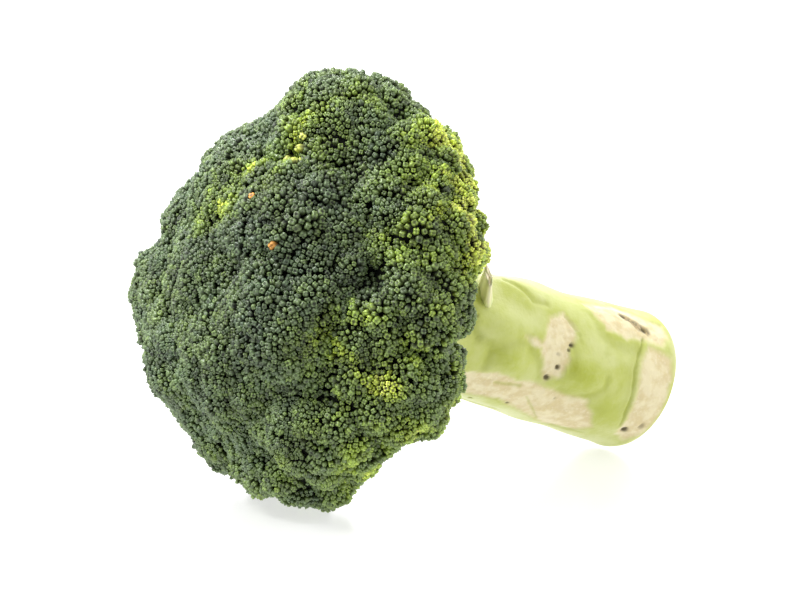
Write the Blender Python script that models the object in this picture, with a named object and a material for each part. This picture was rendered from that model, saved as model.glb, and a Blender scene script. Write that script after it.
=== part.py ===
"""Broccoli head: a cut stalk, its primary branches and the florets that they carry.

The head lies on its side, on its lower florets and on the rim of the cut end. Its axis runs from
the apex of the crown to the cut end, and dips towards +X. Units are metres, +Z is up and the
surface that it lies on is z = 0. The origin is the middle of the bounding box, on that surface.

Each floret is a ball of buds pressed against its neighbours. Where two balls would meet, both are
cut back to the plane through their common circle, less half of GAP, so no two solids touch.
"""

from math import asin, atan2, cos, hypot, pi, radians, sin

import bmesh
import bpy
import numpy as np
from mathutils import Vector, noise

# Crown: an ellipsoid that the outer faces of the florets follow.
CROWN_RADIUS = 0.0755
CROWN_HALF_DEPTH = 0.0530
CROWN_HEIGHT = 0.0685
GAP = 0.0005

# Stalk, measured along the axis from the centre of the crown.
STALK_END = 0.1425
STALK_END_RADIUS = 0.0264
FORK_TOP = 0.0040
FORK_RADIUS = 0.0205
STALK_SIDES = 28

# Branches and florets, as shares of the floret's own radius.
BRANCH_BASE = 0.19
BRANCH_OUTLINE = [(0.0, 0.0), (0.0, BRANCH_BASE), (0.5, 0.20), (0.8, 0.27), (1.0, 0.42), (1.0, 0.0)]
BRANCH_SIDES = 12
ROOT_SLIDE = 0.010
ROOT_TURN = 28.0
FLORET_DEPTH = 0.52
FLORET_BUMP = 0.05
FLORET_BUMP_PITCH = 0.011

# Each floret: angle from the apex and angle round the axis, both in degrees, its radius, and how
# far its outer face stands above the crown's ellipsoid. The second angle starts at the top and
# goes by way of the -Y side.
FLORETS = [
    # Apex.
    (12, 140, 0.0290, 0.0005),
    # Inner ring.
    (42, 7, 0.0285, -0.0010),
    (53, 60, 0.0295, 0.0005),
    (58, 107, 0.0280, 0.0000),
    (50, 150, 0.0270, 0.0000),
    (50, 198, 0.0275, 0.0000),
    (51, 247, 0.0275, 0.0000),
    (50, 300, 0.0275, -0.0045),
    # Outer ring.
    (75, 20, 0.0285, 0.0040),
    (89, 43, 0.0225, 0.0010),
    (91, 65, 0.0215, 0.0005),
    (88, 88, 0.0225, 0.0000),
    (94, 112, 0.0225, 0.0015),
    (84, 136, 0.0255, -0.0010),
    (88, 164, 0.0240, 0.0000),
    (93, 190, 0.0225, 0.0000),
    (85, 216, 0.0245, -0.0020),
    (88, 244, 0.0235, -0.0010),
    (85, 270, 0.0240, 0.0000),
    (88, 297, 0.0235, -0.0010),
    (84, 325, 0.0250, -0.0060),
    (92, 353, 0.0220, -0.0015),
]

# Stalk outline from the fork to the cut end: distance along the axis and radius. The fork is the
# rounded top that the branches leave from. The last points roll over the rim onto the cut face.
STALK_OUTLINE = [
    (FORK_TOP, 0.0),
    (FORK_TOP + 0.0008, 0.0060),
    (FORK_TOP + 0.0035, 0.0115),
    (FORK_TOP + 0.0080, 0.0160),
    (FORK_TOP + 0.0140, 0.0190),
    (FORK_TOP + 0.0210, FORK_RADIUS),
    (0.0340, 0.0210),
    (0.0440, 0.0212),
    (0.0540, 0.0214),
    (0.0640, 0.0218),
    (0.0740, 0.0222),
    (0.0840, 0.0226),
    (0.0940, 0.0231),
    (0.1030, 0.0237),
    (0.1120, 0.0244),
    (0.1200, 0.0250),
    (0.1280, 0.0256),
    (0.1350, 0.0261),
    (STALK_END - 0.0026, STALK_END_RADIUS),
    (STALK_END - 0.0008, 0.0254),
    (STALK_END, 0.0232),
    (STALK_END, 0.0150),
    (STALK_END, 0.0),
]

# Swellings below each cut leaf: distance along the axis, angle round it in degrees, height, half
# length along the axis and half width in degrees.
SWELLINGS = [
    (0.066, 62, 0.0022, 0.013, 34),
    (0.074, 122, 0.0018, 0.011, 26),
    (0.104, 104, 0.0020, 0.013, 28),
    (0.118, 30, 0.0018, 0.012, 24),
    (0.086, 350, 0.0020, 0.014, 30),
    (0.078, 215, 0.0020, 0.013, 30),
    (0.110, 268, 0.0019, 0.014, 28),
]

# Stubs of cut leaves at the neck: distance along the axis, angle round it, length and width.
LEAF_STUBS = [
    (0.0560, 48, 0.0150, 0.0100),
    (0.0600, 236, 0.0130, 0.0090),
]
LEAF_THICKNESS = 0.0024

# The dip that rests the rim of the cut end on the surface when the crown is at its own height.
RIM_PLACE = STALK_END - 0.0026
AXIS_DIP = asin(CROWN_HEIGHT / hypot(RIM_PLACE, STALK_END_RADIUS)) - atan2(STALK_END_RADIUS, RIM_PLACE)
ALONG = np.array([cos(AXIS_DIP), 0.0, -sin(AXIS_DIP)])
ABOVE = np.array([sin(AXIS_DIP), 0.0, cos(AXIS_DIP)])
NEAR = np.array([0.0, -1.0, 0.0])
CROWN_CENTRE = np.array([0.0, 0.0, CROWN_HEIGHT])

MATERIALS = {
    "stalk": ("broccoli_stalk_flesh", (0.58, 0.63, 0.26, 1.0), 0.45),
    "branch": ("broccoli_branch_flesh", (0.42, 0.55, 0.18, 1.0), 0.5),
    "floret": ("broccoli_buds", (0.075, 0.125, 0.055, 1.0), 0.65),
    "leaf": ("broccoli_leaf_stub", (0.50, 0.58, 0.24, 1.0), 0.5),
}


def around(angle):
    """The unit direction square to the axis, at an angle in degrees from the top."""
    return ABOVE * cos(radians(angle)) + NEAR * sin(radians(angle))


def on_axis(distance, radius=0.0, angle=0.0):
    """A point at a distance along the axis from the crown's centre and a radius away from it."""
    return CROWN_CENTRE + ALONG * distance + around(angle) * radius


def clear_scene():
    for thing in list(bpy.data.objects):
        bpy.data.objects.remove(thing, do_unlink=True)


def new_collection(name):
    collection = bpy.data.collections.new(name)
    bpy.context.scene.collection.children.link(collection)
    return collection


def make_material(kind, node):
    name, colour, roughness = MATERIALS[kind]
    material = bpy.data.materials.new(f"{name}_{node}")
    material.use_nodes = True
    shader = material.node_tree.nodes["Principled BSDF"]
    shader.inputs["Base Color"].default_value = colour
    shader.inputs["Roughness"].default_value = roughness
    material.diffuse_color = colour
    return material


def add_object(bm, name, kind, collection):
    """Turns a bmesh into a named object, facing outward and shaded smooth."""
    if bm.calc_volume(signed=True) < 0.0:
        bmesh.ops.reverse_faces(bm, faces=bm.faces)
    mesh = bpy.data.meshes.new(name)
    bm.to_mesh(mesh)
    bm.free()
    mesh.shade_smooth()
    thing = bpy.data.objects.new(name, mesh)
    thing.data.materials.append(make_material(kind, name))
    collection.objects.link(thing)
    return thing


def floret_balls():
    """Each floret's centre and radius, with its outer face on the crown's ellipsoid."""
    balls = []
    for polar, roll, radius, stand in FLORETS:
        outward = around(roll) * sin(radians(polar)) - ALONG * cos(radians(polar))
        reach = 1.0 / hypot(cos(radians(polar)) / CROWN_HALF_DEPTH, sin(radians(polar)) / CROWN_RADIUS)
        balls.append((CROWN_CENTRE + outward * (reach + stand - radius), radius))
    return balls


def cell_planes(index, balls):
    """The planes between one floret's ball and all the others, as unit normals and distances."""
    centre, radius = balls[index]
    planes = []
    for other, (other_centre, other_radius) in enumerate(balls):
        if other == index:
            continue
        apart = np.linalg.norm(other_centre - centre)
        share = (apart**2 + radius**2 - other_radius**2) / (2.0 * apart)
        planes.append(((other_centre - centre) / apart, share - GAP / 2.0))
    return planes


def room(offset, direction, planes):
    """How far a point can move along a direction before it meets the first of the planes."""
    least = 1.0
    for normal, distance in planes:
        facing = float(direction @ normal)
        if facing > 1e-6:
            least = min(least, (distance - float(offset @ normal)) / facing)
    return least


def outline_at(distance):
    """The stalk's radius at a distance along the axis."""
    return float(np.interp(distance, *zip(*STALK_OUTLINE)))


def branch_root(index, balls):
    """Where a branch leaves the stalk. Outer florets start lower down the stalk than inner ones.

    The root is near the floret's own angle, at the place with most room between its neighbours.
    """
    polar, roll, radius, _ = FLORETS[index]
    centre = balls[index][0]
    planes = cell_planes(index, balls)
    usual = FORK_TOP + 0.034 * min(polar / 90.0, 1.0) ** 2
    best_score, best_root = -1.0, None
    for slide in np.linspace(-ROOT_SLIDE, ROOT_SLIDE, 9):
        for turn in np.linspace(-ROOT_TURN, ROOT_TURN, 9):
            distance = max(usual + slide, FORK_TOP + 0.0005)
            root = on_axis(distance, outline_at(distance), roll + turn)
            clearance = min(far - float((root - centre) @ normal) for normal, far in planes)
            moved = abs(slide) + ROOT_SLIDE * abs(turn) / ROOT_TURN
            score = min(clearance, radius * BRANCH_BASE * 1.3) - 0.15 * moved
            if score > best_score:
                best_score, best_root = score, root
    return best_root


def add_floret(index, balls, root, collection):
    """A ball of buds with a slightly lumpy face, cut back by the planes around it."""
    centre, radius = balls[index]
    backward = (root - centre) / np.linalg.norm(root - centre)
    surface = (np.array([0.0, 0.0, -1.0]), centre[2])
    planes = cell_planes(index, balls) + [surface, (backward, radius * FLORET_DEPTH)]
    bm = bmesh.new()
    bmesh.ops.create_icosphere(bm, subdivisions=3, radius=1.0)
    for vert in bm.verts:
        direction = np.array(vert.co.normalized())
        lump = noise.noise(Vector((centre + direction * radius) / FLORET_BUMP_PITCH))
        reach = radius * (1.0 - FLORET_BUMP * (0.5 - lump))
        vert.co = Vector(centre + direction * min(reach, room(np.zeros(3), direction, planes)))
    return add_object(bm, f"floret_{index + 1:02d}", "floret", collection)


def clear_of_stalk(point, margin):
    """Whether a point is outside the stalk's outline by a margin."""
    offset = point - CROWN_CENTRE
    distance = float(offset @ ALONG)
    side = float(np.linalg.norm(offset - ALONG * distance))
    return distance + margin < FORK_TOP or side > outline_at(distance + margin) + margin


def ball_on_outline(stations, sides, place):
    """A ball whose rings are moved to the stations; place gives a vertex from station and angle."""
    bm = bmesh.new()
    rings = len(stations) - 1
    bmesh.ops.create_uvsphere(bm, u_segments=sides, v_segments=rings, radius=1.0)
    for vert in bm.verts:
        ring = round((0.5 - asin(max(-1.0, min(1.0, vert.co.z))) / pi) * rings)
        angle = np.degrees(atan2(vert.co.y, vert.co.x))
        vert.co = Vector(place(*stations[ring], angle))
    return bm


def add_branch(index, balls, root, collection):
    """A tapered stem from the stalk to the underside of a floret, flaring as it gets there."""
    centre, radius = balls[index]
    length = np.linalg.norm(centre - root)
    toward = (centre - root) / length
    side = np.cross(toward, NEAR if abs(toward[1]) < 0.8 else ALONG)
    side = side / np.linalg.norm(side)
    other_side = np.cross(toward, side)
    planes = cell_planes(index, balls)
    start = root
    while not clear_of_stalk(start, GAP + radius * BRANCH_BASE):
        start = start + toward * GAP
    tip = root + toward * (length - radius * FLORET_DEPTH - GAP)

    def place(station, share, angle):
        middle = start + (tip - start) * station
        direction = side * cos(radians(angle)) + other_side * sin(radians(angle))
        least = room(middle - centre, direction, planes)
        return middle + direction * min(radius * share, least)

    bm = ball_on_outline(BRANCH_OUTLINE, BRANCH_SIDES, place)
    return add_object(bm, f"branch_{index + 1:02d}", "branch", collection)


def swelling_at(distance, angle):
    """How far the leaf swellings lift the side of the stalk at this place."""
    lift = 0.0
    for along, roll, height, half_length, half_width in SWELLINGS:
        turn = (angle - roll + 180.0) % 360.0 - 180.0
        lift += height * np.exp(-(((distance - along) / half_length) ** 2) - (turn / half_width) ** 2)
    return lift


def add_stalk(collection):
    """The main stem, with its leaf swellings, and flat wherever it meets the surface."""

    def place(distance, radius, angle):
        lift = swelling_at(distance, angle) * min(1.0, radius / FORK_RADIUS)
        point = on_axis(distance, radius + lift, angle)
        point[2] = max(point[2], 0.0)
        return point

    return add_object(ball_on_outline(STALK_OUTLINE, STALK_SIDES, place), "stalk", "stalk", collection)


def add_leaf_stub(index, collection):
    """A short flat stub that stands off the neck, leaning towards the crown."""
    distance, angle, length, width = LEAF_STUBS[index]
    outward = around(angle)
    across = np.cross(ALONG, outward)
    lean = outward * 0.80 - ALONG * 0.60
    flat = np.cross(across, lean)
    lift = outline_at(distance) + swelling_at(distance, angle) + 0.0008 + length * 0.40
    middle = on_axis(distance, lift, angle) - ALONG * length * 0.30
    bm = bmesh.new()
    bmesh.ops.create_uvsphere(bm, u_segments=16, v_segments=10, radius=1.0)
    for vert in bm.verts:
        up, side, thick = vert.co.z, vert.co.x, vert.co.y
        taper = 1.0 - 0.30 * up
        cup = 0.12 * width * side * side
        point = middle + lean * up * length / 2.0 + across * side * taper * width / 2.0
        vert.co = Vector(point + flat * (thick * LEAF_THICKNESS / 2.0 + cup))
    return add_object(bm, f"leaf_stub_{index + 1:02d}", "leaf", collection)


def centre_on_origin(things):
    """Moves everything along X and Y so that the bounding box's middle is at the origin."""
    bpy.context.view_layer.update()
    graph = bpy.context.evaluated_depsgraph_get()
    corners = []
    for thing in things:
        mesh = thing.evaluated_get(graph).to_mesh()
        corners += [tuple(vert.co) for vert in mesh.vertices]
        thing.evaluated_get(graph).to_mesh_clear()
    corners = np.array(corners)
    middle = (corners.min(axis=0) + corners.max(axis=0)) / 2.0
    for thing in things:
        thing.location = (-middle[0], -middle[1], 0.0)
    print("crown centre in the finished frame:", -middle[0], -middle[1], CROWN_HEIGHT)


def main():
    clear_scene()
    collection = new_collection("broccoli_head")
    balls = floret_balls()
    things = [add_stalk(collection)]
    for index in range(len(FLORETS)):
        root = branch_root(index, balls)
        things.append(add_branch(index, balls, root, collection))
        things.append(add_floret(index, balls, root, collection))
    for index in range(len(LEAF_STUBS)):
        things.append(add_leaf_stub(index, collection))
    centre_on_origin(things)


main()
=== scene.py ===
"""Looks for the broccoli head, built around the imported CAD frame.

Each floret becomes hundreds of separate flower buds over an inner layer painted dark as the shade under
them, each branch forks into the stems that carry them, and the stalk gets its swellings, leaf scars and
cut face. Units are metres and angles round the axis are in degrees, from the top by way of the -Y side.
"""

import math

import bpy
import numpy as np
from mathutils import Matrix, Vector, kdtree, noise


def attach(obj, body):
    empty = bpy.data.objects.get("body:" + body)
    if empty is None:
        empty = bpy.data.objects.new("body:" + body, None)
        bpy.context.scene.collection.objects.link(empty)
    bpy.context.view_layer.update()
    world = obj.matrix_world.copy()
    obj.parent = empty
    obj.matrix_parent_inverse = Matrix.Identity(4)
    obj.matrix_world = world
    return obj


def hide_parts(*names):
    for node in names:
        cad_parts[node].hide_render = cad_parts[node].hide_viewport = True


# ---------------------------------------------------------------- the plant's layout, as in part.py
CROWN_CENTRE = np.array([-0.0427, -0.0001, 0.0685])
CROWN_RADIUS = 0.0755
CROWN_HALF_DEPTH = 0.0530
AXIS_DIP = math.radians(18.07)
FLORET_DEPTH = 0.52

# Angle from the apex, angle round the axis, radius, height of the face above the crown's ellipsoid.
FLORETS = [
    (12, 140, 0.0290, 0.0005),
    (42, 7, 0.0285, -0.0010),
    (53, 60, 0.0295, 0.0005),
    (58, 107, 0.0280, 0.0000),
    (50, 150, 0.0270, 0.0000),
    (50, 198, 0.0275, 0.0000),
    (51, 247, 0.0275, 0.0000),
    (50, 300, 0.0275, -0.0045),
    (75, 20, 0.0285, 0.0040),
    (89, 43, 0.0225, 0.0010),
    (91, 65, 0.0215, 0.0005),
    (88, 88, 0.0225, 0.0000),
    (94, 112, 0.0225, 0.0015),
    (84, 136, 0.0255, -0.0010),
    (88, 164, 0.0240, 0.0000),
    (93, 190, 0.0225, 0.0000),
    (85, 216, 0.0245, -0.0020),
    (88, 244, 0.0235, -0.0010),
    (85, 270, 0.0240, 0.0000),
    (88, 297, 0.0235, -0.0010),
    (84, 325, 0.0250, -0.0060),
    (92, 353, 0.0220, -0.0015),
]

# ---------------------------------------------------------------- crown, clusters and buds
# The creases between florets are filled up to this far below the crown's ellipsoid, and rounded.
# On the underside the filling drops away.
CREASE_DEPTH = 0.0055
CREASE_ROUNDING = 0.0008
UNDERSIDE_DROP = 0.05
# The ground that the buds grow on is this far below the crown's face, and ends at this angle.
BUD_STAND = 0.0017
RIM_ANGLE = 113.0
# Slopes are measured across this step, in radians.
NORMAL_STEP = 0.012

# Clusters are small domes of buds: how far apart, their radius as a share of that, their height,
# and the distance from the middle at which a bud leans out by half a right angle.
CLUSTER_TRIALS = 9000
CLUSTER_SPACING = 0.0088
CLUSTER_REACH = 0.62
CLUSTER_RISE = 0.0015
CLUSTER_FAN = 0.0105
BUD_PITCH = 0.00175
BUDS_PER_CLUSTER = 115
# Buds are pushed apart a few times. Any still nearer than the first share of the pitch is dropped,
# and ground farther than the second share from every bud gets one more.
PUSHES = 5
LEAST_PITCH = 0.74
BARE_PITCH = 0.86
FILL_TRIALS = 60000
GOLDEN_TURN = math.pi * (3.0 - math.sqrt(5.0))
SEED = 11

SEPALS = 4
BUD_SIDES = 12
# The seams between the sepals are this much darker in the palette on the bud's upper part: painted shade in
# the seams.
SEAM_PAINTED_SHADE = -0.18
SEAM_DROP = 0.06
CUPPED_SHARE = 0.50
PALETTE_WOBBLE = 0.01
# Hues in the palette: buds up to the first are green, and buds above it are opening or damaged.
GREENEST, BLOOM_HUE, SPOT_HUE = 0.62, 0.625, 0.88
BLOOM_GROWTH = 1.45

# Patches of younger, yellower buds: angle from the apex, angle round the axis, size, strength.
PATCHES = [
    (14, 6, 8, 0.34),
    (27, 32, 10, 0.58),
    (39, 35, 9, 0.52),
    (50, 36, 7, 0.56),
    (57, 28, 7, 0.44),
    (96, 46, 13, 0.80),
    (98, 66, 13, 0.80),
    (86, 58, 8, 0.36),
    (77, 72, 8, 0.32),
    (70, 103, 10, 0.48),
    (80, 107, 12, 0.54),
    (94, 137, 12, 0.42),
    (64, 42, 7, 0.26),
    (90, 88, 8, 0.26),
    (98, 116, 10, 0.40),
    (60, 14, 8, 0.26),
    (72, 30, 8, 0.22),
    (74, 140, 10, 0.20),
    (95, 175, 13, 0.36),
    (60, 230, 11, 0.32),
    (97, 250, 15, 0.50),
    (72, 290, 10, 0.34),
    (98, 318, 14, 0.50),
]
# Places where the crown stands out or falls in: the two angles, size in degrees, height.
DENTS = [
    (91, 25, 8, 0.0010),
    (84, 10, 8, -0.0028),
    (52, 358, 9, -0.0030),
    (70, 336, 10, -0.0088),
    (55, 322, 8, 0.0016),
    (43, 310, 10, -0.0026),
    (54, 180, 11, -0.0020),
    (70, 170, 13, -0.0030),
    (75, 192, 8, 0.0034),
    (77, 209, 9, -0.0056),
    (87, 189, 10, -0.0058),
    (93, 185, 8, -0.0020),
    (94, 165, 9, -0.0058),
    (99, 153, 8, 0.0060),
    (93, 50, 14, -0.0008),
    (100, 40, 11, -0.0015),
    (39, 280, 12, 0.0008),
    (43, 250, 12, -0.0009),
    (43, 205, 10, 0.0010),
]
# Valleys between florets, as lines of two angles: the line, half width in degrees, depth.
VALLEYS = [
    ([(58, 22), (60, 36), (64, 49), (69, 68), (73, 81), (66, 100), (71, 122)], 3.6, 0.0040),
    ([(73, 81), (84, 99), (97, 104)], 3.2, 0.0022),
    ([(50, 38), (40, 20), (33, 350)], 3.2, 0.0020),
    ([(71, 122), (62, 140), (66, 165)], 3.0, 0.0016),
    ([(35, 210), (58, 222), (80, 232), (98, 232)], 3.4, 0.0030),
    ([(40, 275), (62, 282), (84, 284)], 3.4, 0.0030),
    ([(66, 310), (84, 312), (100, 312)], 3.2, 0.0026),
    ([(68, 195), (84, 203), (100, 204)], 3.2, 0.0026),
]
# Single damaged buds, orange to brown: angle from the apex, angle round the axis.
SPOTS = [(44, 78), (36, 51), (57, 262)]
# Buds about to open, larger and pale yellow: angle from the apex, angle round the axis.
BLOOMS = [(49, 37), (50, 41), (50, 44), (54, 35), (55, 32), (49, 33), (52, 38), (98, 62), (99, 244)]

# Two kinds of bud, from base to tip: radius share, height share, how much the seams between the
# sepals pull in, and the changes of hue and lightness there. The lightness changes are painted shade on the
# lower sides and in the tip's dimple, and a painted highlight on the shoulder that is partly also the
# sepals' paler edges. The last row is the tip itself.
CLOSED_BUD = [
    (0.50, -0.30, 1.00, 0.12, -0.32),
    (1.00, 0.42, 0.92, 0.05, -0.18),
    (0.92, 0.76, 0.84, 0.00, 0.00),
    (0.66, 0.98, 0.72, -0.02, 0.28),
    (0.30, 1.04, 0.68, 0.00, 0.09),
    (0.00, 0.98, 1.00, 0.02, -0.12),
]
CUPPED_BUD = [
    (0.50, -0.30, 1.00, 0.12, -0.32),
    (1.00, 0.42, 0.92, 0.05, -0.18),
    (0.94, 0.76, 0.82, 0.00, 0.02),
    (0.72, 0.97, 0.72, -0.02, 0.31),
    (0.38, 0.90, 0.74, 0.02, -0.04),
    (0.00, 0.76, 1.00, 0.03, -0.20),
]

ALONG = np.array([math.cos(AXIS_DIP), 0.0, -math.sin(AXIS_DIP)])
ABOVE = np.array([math.sin(AXIS_DIP), 0.0, math.cos(AXIS_DIP)])
NEAR = np.array([0.0, -1.0, 0.0])


def around(angle):
    """The unit direction square to the axis at an angle in degrees."""
    return ABOVE * math.cos(math.radians(angle)) + NEAR * math.sin(math.radians(angle))


def outward(polar, roll):
    """The unit direction from the crown's centre at two angles in degrees."""
    return around(roll) * math.sin(math.radians(polar)) - ALONG * math.cos(math.radians(polar))


def turns_of(count):
    """Evenly spread angles for one whole turn, in radians."""
    return np.arange(count) * 2.0 * math.pi / count


def circle_points(angles):
    return np.stack([np.cos(angles), np.sin(angles)], axis=1)


def unit(vectors):
    return vectors / np.linalg.norm(vectors, axis=-1, keepdims=True)


def noise_at(points, pitch, shift=0.0):
    """Smooth noise between -1 and 1 at each point."""
    return np.array([noise.noise(Vector(point / pitch + shift)) for point in points])


def smooth_step(low, high, value):
    share = np.clip((value - low) / (high - low), 0.0, 1.0)
    return share * share * (3.0 - 2.0 * share)


def floret_balls():
    """The centres and radii of the balls that the florets are cut from."""
    centres, radii = [], []
    for polar, roll, radius, stand in FLORETS:
        axial = math.cos(math.radians(polar)) / CROWN_HALF_DEPTH
        across = math.sin(math.radians(polar)) / CROWN_RADIUS
        reach = 1.0 / math.hypot(axial, across) + stand - radius
        centres.append(CROWN_CENTRE + outward(polar, roll) * reach)
        radii.append(radius)
    return np.array(centres), np.array(radii)


BALL_CENTRES, BALL_RADII = floret_balls()


def ball_exits(directions):
    """How far each ray from the crown's centre has gone when it leaves each floret's ball."""
    offsets = BALL_CENTRES - CROWN_CENTRE
    along = directions @ offsets.T
    inside = along**2 - (offsets**2).sum(axis=1) + BALL_RADII**2
    return np.where(inside > 0.0, along + np.sqrt(np.maximum(inside, 0.0)), -1.0)


def degrees_between(directions, direction):
    return np.degrees(np.arccos(np.clip(directions @ direction, -1.0, 1.0)))


def valley_points(line):
    """Directions every degree or two along a line of two angles."""
    stops = [outward(*place) for place in line]
    steps = np.linspace(0.0, 1.0, 12, endpoint=False)[:, None]
    spans = [first + (second - first) * steps for first, second in zip(stops, stops[1:])]
    return unit(np.concatenate(spans))


def spot(directions, polar, roll, size):
    """1 in the direction of two angles, fading to 0 over a size in degrees."""
    return np.exp(-((degrees_between(directions, outward(polar, roll)) / size) ** 2))


def landform(directions):
    """The dents, bulges and valleys that the balls alone don't give."""
    height = np.zeros(len(directions))
    for polar, roll, size, depth in DENTS:
        height += depth * spot(directions, polar, roll, size)
    for line, width, depth in VALLEYS:
        nearest = (directions @ valley_points(line).T).max(axis=1)
        apart = np.degrees(np.arccos(np.clip(nearest, -1.0, 1.0)))
        height -= depth * np.exp(-((apart / width) ** 2))
    return height


def crown_reach(directions):
    """The distance from the crown's centre to its surface: balls with filled, rounded creases."""
    exits = ball_exits(directions)
    cosine = -(directions @ ALONG)
    sine = np.sqrt(np.maximum(0.0, 1.0 - cosine**2))
    filler = 1.0 / np.hypot(cosine / CROWN_HALF_DEPTH, sine / CROWN_RADIUS) - CREASE_DEPTH
    filler = filler - UNDERSIDE_DROP * smooth_step(0.0, -0.5, cosine)
    levels = np.concatenate([exits, filler[:, None]], axis=1)
    top = levels.max(axis=1)
    weights = np.exp((levels - top[:, None]) / CREASE_ROUNDING)
    reach = top + CREASE_ROUNDING * np.log(weights.sum(axis=1))
    uneven = 0.0007 * noise_at(directions, 0.22) + 0.0004 * noise_at(directions, 0.07, 8.0)
    return reach + uneven + landform(directions) - BUD_STAND


def crown_points(directions):
    return CROWN_CENTRE + directions * crown_reach(directions)[:, None]


def tangents_of(directions):
    """Two unit directions square to each direction and to each other."""
    helper = np.where(np.abs(directions[:, 2:3]) < 0.9, [[0.0, 0.0, 1.0]], [[1.0, 0.0, 0.0]])
    side = unit(np.cross(directions, helper))
    return side, np.cross(directions, side)


def crown_slope(directions, step):
    """From the crown's surface one step back to one step on, in each direction's neighbourhood."""
    return crown_points(unit(directions + step)) - crown_points(unit(directions - step))


def crown_normals(directions):
    side, other = tangents_of(directions)
    across = crown_slope(directions, side * NORMAL_STEP)
    upward = crown_slope(directions, other * NORMAL_STEP)
    normals = unit(np.cross(across, upward))
    return normals * np.sign((normals * directions).sum(axis=1))[:, None]


def polar_of(directions):
    return np.degrees(np.arccos(np.clip(-(directions @ ALONG), -1.0, 1.0)))


def tree_of(points):
    tree = kdtree.KDTree(len(points))
    for index, point in enumerate(points):
        tree.insert(Vector(point), index)
    tree.balance()
    return tree


# ---------------------------------------------------------------- clusters
def spiral_directions(count, limit):
    """Evenly spread directions whose angle from the apex is less than the limit and its noise."""
    steps = np.arange(count)
    heights = 1.0 - 2.0 * (steps + 0.5) / count
    rings = np.sqrt(1.0 - heights**2)
    turns = steps * GOLDEN_TURN
    directions = (
        -ALONG * heights[:, None]
        + ABOVE * (rings * np.cos(turns))[:, None]
        + NEAR * (rings * np.sin(turns))[:, None]
    )
    directions = directions[polar_of(directions) < limit + 5.0]
    return directions[polar_of(directions) < limit + 4.0 * noise_at(directions, 0.35, 3.0)]


def place_clusters(rng):
    """Centres of the small domes of buds, spread evenly over the crown down to its rim."""
    directions = spiral_directions(CLUSTER_TRIALS, RIM_ANGLE)
    directions = directions[rng.permutation(len(directions))]
    points = crown_points(directions)
    sizes = CLUSTER_SPACING * (1.0 + 0.22 * noise_at(directions, 0.18, 9.0))
    kept = []
    for index in range(len(points)):
        near = np.linalg.norm(points[kept] - points[index], axis=1) if kept else np.array([1.0])
        if near.min() > sizes[index]:
            kept.append(index)
    directions, points, sizes = directions[kept], points[kept], sizes[kept]
    owners = np.argmax(ball_exits(directions), axis=1)
    return {
        "direction": directions,
        "point": points,
        "normal": crown_normals(directions),
        "size": sizes,
        "owner": owners,
        "lift": rng.uniform(-0.0005, 0.0007, len(points)),
        "tint": rng.normal(0.0, 1.0, len(points)),
    }


def place_buds(clusters, rng):
    """Buds in a spiral over each cluster, kept to its own ground and then pushed evenly apart."""
    count = len(clusters["point"])
    steps = np.arange(BUDS_PER_CLUSTER)
    pitch = BUD_PITCH * (1.0 + 0.10 * rng.normal(size=count)) * pitch_share(clusters["direction"])
    spread = pitch[:, None] * 0.53 * np.sqrt(steps + 0.5)
    turns = steps * GOLDEN_TURN + rng.uniform(0.0, 2.0 * math.pi, (count, 1))
    side, other = tangents_of(clusters["normal"])
    points = (
        clusters["point"][:, None, :]
        + side[:, None, :] * (spread * np.cos(turns))[:, :, None]
        + other[:, None, :] * (spread * np.sin(turns))[:, :, None]
    ).reshape(-1, 3)
    owner = np.repeat(np.arange(count), BUDS_PER_CLUSTER)
    points = crown_points(unit(points - CROWN_CENTRE))
    tree = tree_of(clusters["point"])
    own = np.array([tree.find(Vector(point))[1] for point in points]) == owner
    points, owner = points[own], owner[own]
    pitch = pitch[owner]
    for _ in range(PUSHES):
        points = push_apart(points, pitch)
    keep = thin_out(points, pitch * LEAST_PITCH)
    return fill_gaps(points[keep], owner[keep], pitch[keep], tree, rng)


def fill_gaps(points, owner, pitch, cluster_tree, rng):
    """More buds wherever the ground is still bare, such as on the steep sides of the valleys."""
    directions = spiral_directions(FILL_TRIALS, RIM_ANGLE + 1.0)
    directions = directions[rng.permutation(len(directions))]
    trials = crown_points(directions)
    pitches = BUD_PITCH * pitch_share(directions)
    tree = tree_of(points)
    added, owners = [], []
    for index, trial in enumerate(trials):
        least = pitches[index] * BARE_PITCH
        if tree.find(Vector(trial))[2] < least:
            continue
        if added and np.linalg.norm(trials[added] - trial, axis=1).min() < least:
            continue
        added.append(index)
        owners.append(cluster_tree.find(Vector(trial))[1])
    points = np.concatenate([points, trials[added]])
    return points, np.concatenate([owner, owners]), np.concatenate([pitch, pitches[added]])


def pitch_share(directions):
    """Buds are larger in the middle of the near side and finer towards the apex and the rim."""
    middle = unit(outward(62, 78))
    away = degrees_between(directions, middle)
    return 1.10 - 0.20 * smooth_step(18.0, 62.0, away)


def push_apart(points, pitch):
    """The points after each has moved a little away from those nearer than its pitch."""
    tree = tree_of(points)
    moved = points.copy()
    for index, point in enumerate(points):
        push = np.zeros(3)
        for near, other, apart in tree.find_range(Vector(point), pitch[index]):
            if other != index and apart > 1e-7:
                push += (point - np.array(near)) / apart * (pitch[index] - apart)
        moved[index] = point + push * 0.32
    return crown_points(unit(moved - CROWN_CENTRE))


def thin_out(points, least):
    """Indices of the points left after dropping any that is too near one already kept."""
    tree = tree_of(points)
    dropped = np.zeros(len(points), bool)
    for index, point in enumerate(points):
        if dropped[index]:
            continue
        for _, other, _ in tree.find_range(Vector(point), least[index]):
            if other > index:
                dropped[other] = True
    return np.nonzero(~dropped)[0]


# ---------------------------------------------------------------- mesh building
# What lies on the floor is pressed flat by it: below this height a point keeps a share of its drop.
PRESS_HEIGHT = 0.0008
PRESS_KEEP = 0.25


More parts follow.
